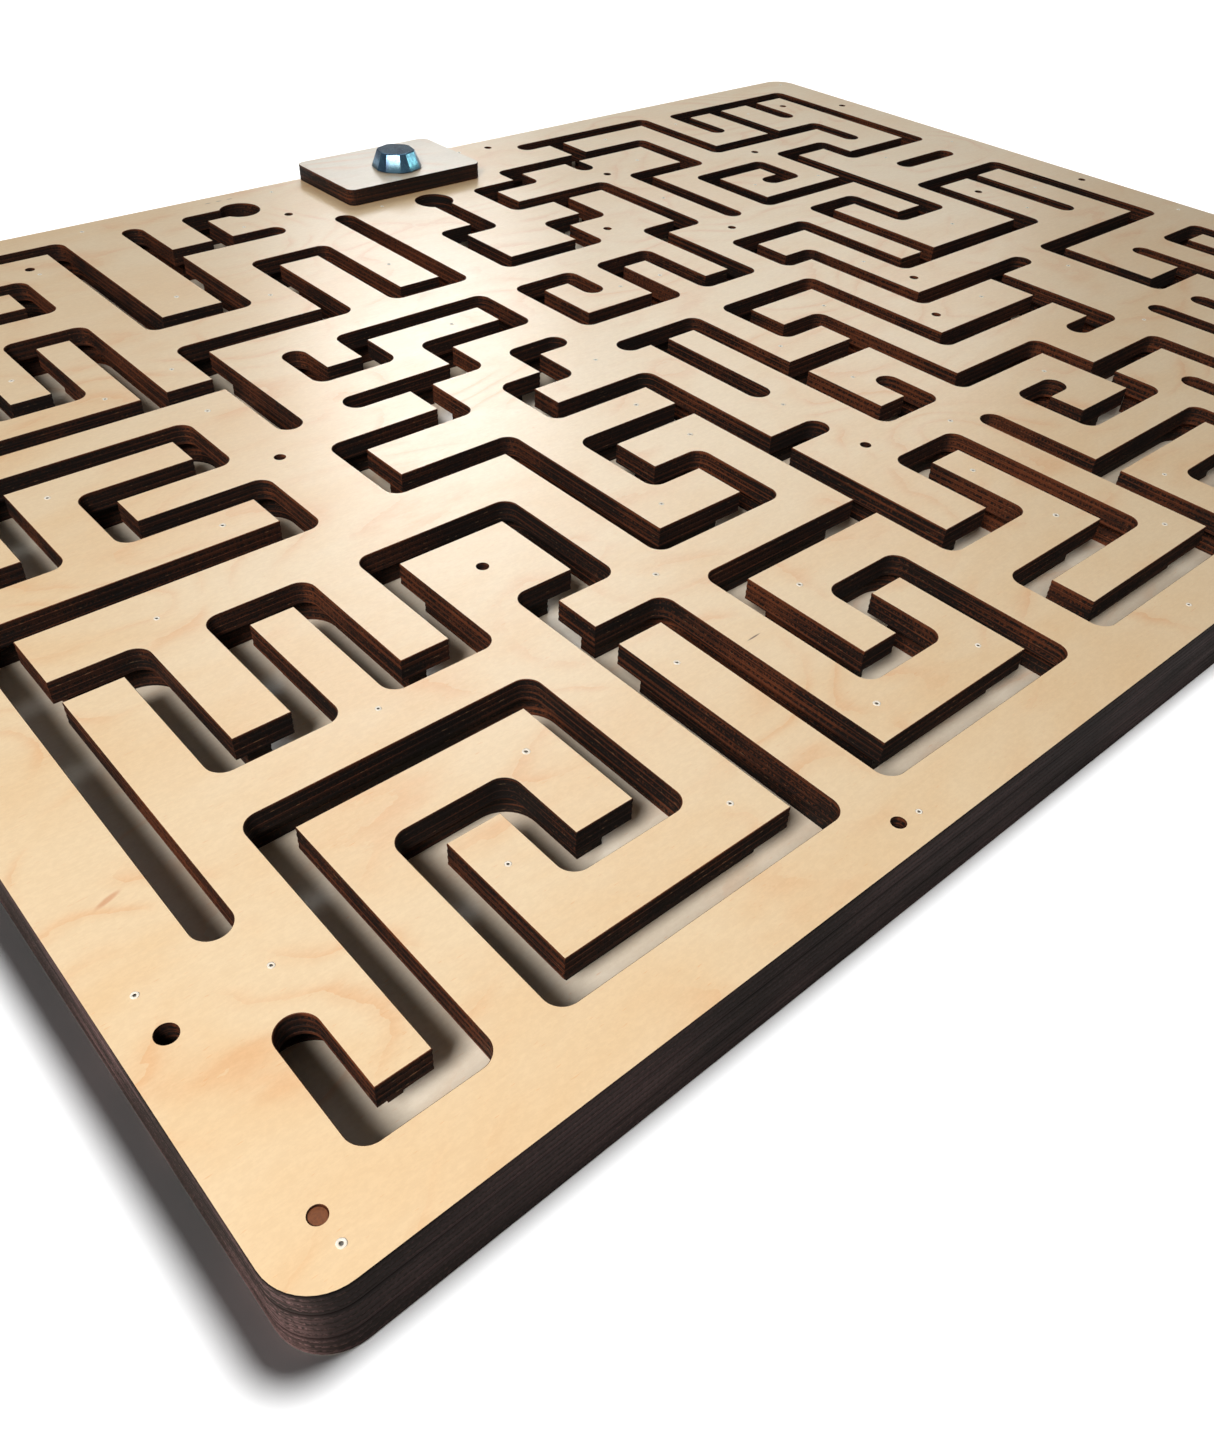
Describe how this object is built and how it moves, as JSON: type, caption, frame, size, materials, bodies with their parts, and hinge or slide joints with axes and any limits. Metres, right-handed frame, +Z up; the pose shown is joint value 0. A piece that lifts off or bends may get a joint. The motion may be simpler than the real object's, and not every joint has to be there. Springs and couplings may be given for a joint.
{
  "type": "tilt maze game",
  "caption": "Flat plywood tilt maze with a captive steel ball in T-section corridors and a small swinging plate on a bolt at one edge.",
  "frame": {"origin": "middle of the board's underside, on the surface it rests on", "axes": "+X along the long side, +Y along the short side towards the plate's edge, +Z up out of the maze's face"},
  "size_m": [0.8, 0.6, 0.0499],
  "materials": {
    "birch_ply": "satin birch veneer with laser-charred edges",
    "brown_dowel": "cut end of a brown dowel",
    "bright_steel": "bright wire",
    "polished_steel": "polished ball",
    "zinc_plate": "blue-passivated zinc",
    "white_nylon": "matt"
  },
  "bodies": {
    "board": {"floor_panel": "birch_ply", "channel_panel": "birch_ply", "maze_panel": "birch_ply", "brad_nails": "bright_steel", "corner_dowel": "brown_dowel", "pivot_bolt": "zinc_plate", "head_washer": "zinc_plate", "glide_washer": "white_nylon", "nut_washer": "zinc_plate", "cap_nut": "zinc_plate"},
    "plate": {"swing_plate": "birch_ply"},
    "ball": {"steel_ball": "polished_steel"}
  },
  "joints": [
    {"name": "plate_swing", "type": "hinge", "parent": "board", "child": "plate", "pos_m": [0.0025, 0.26, 0.035], "axis": [0, 0, 1], "continuous": true},
    {"name": "ball_run", "type": "slide", "parent": "board", "child": "ball", "axis": [0, 1, 0], "range_m": [-0.172, 0.113]}
  ]
}
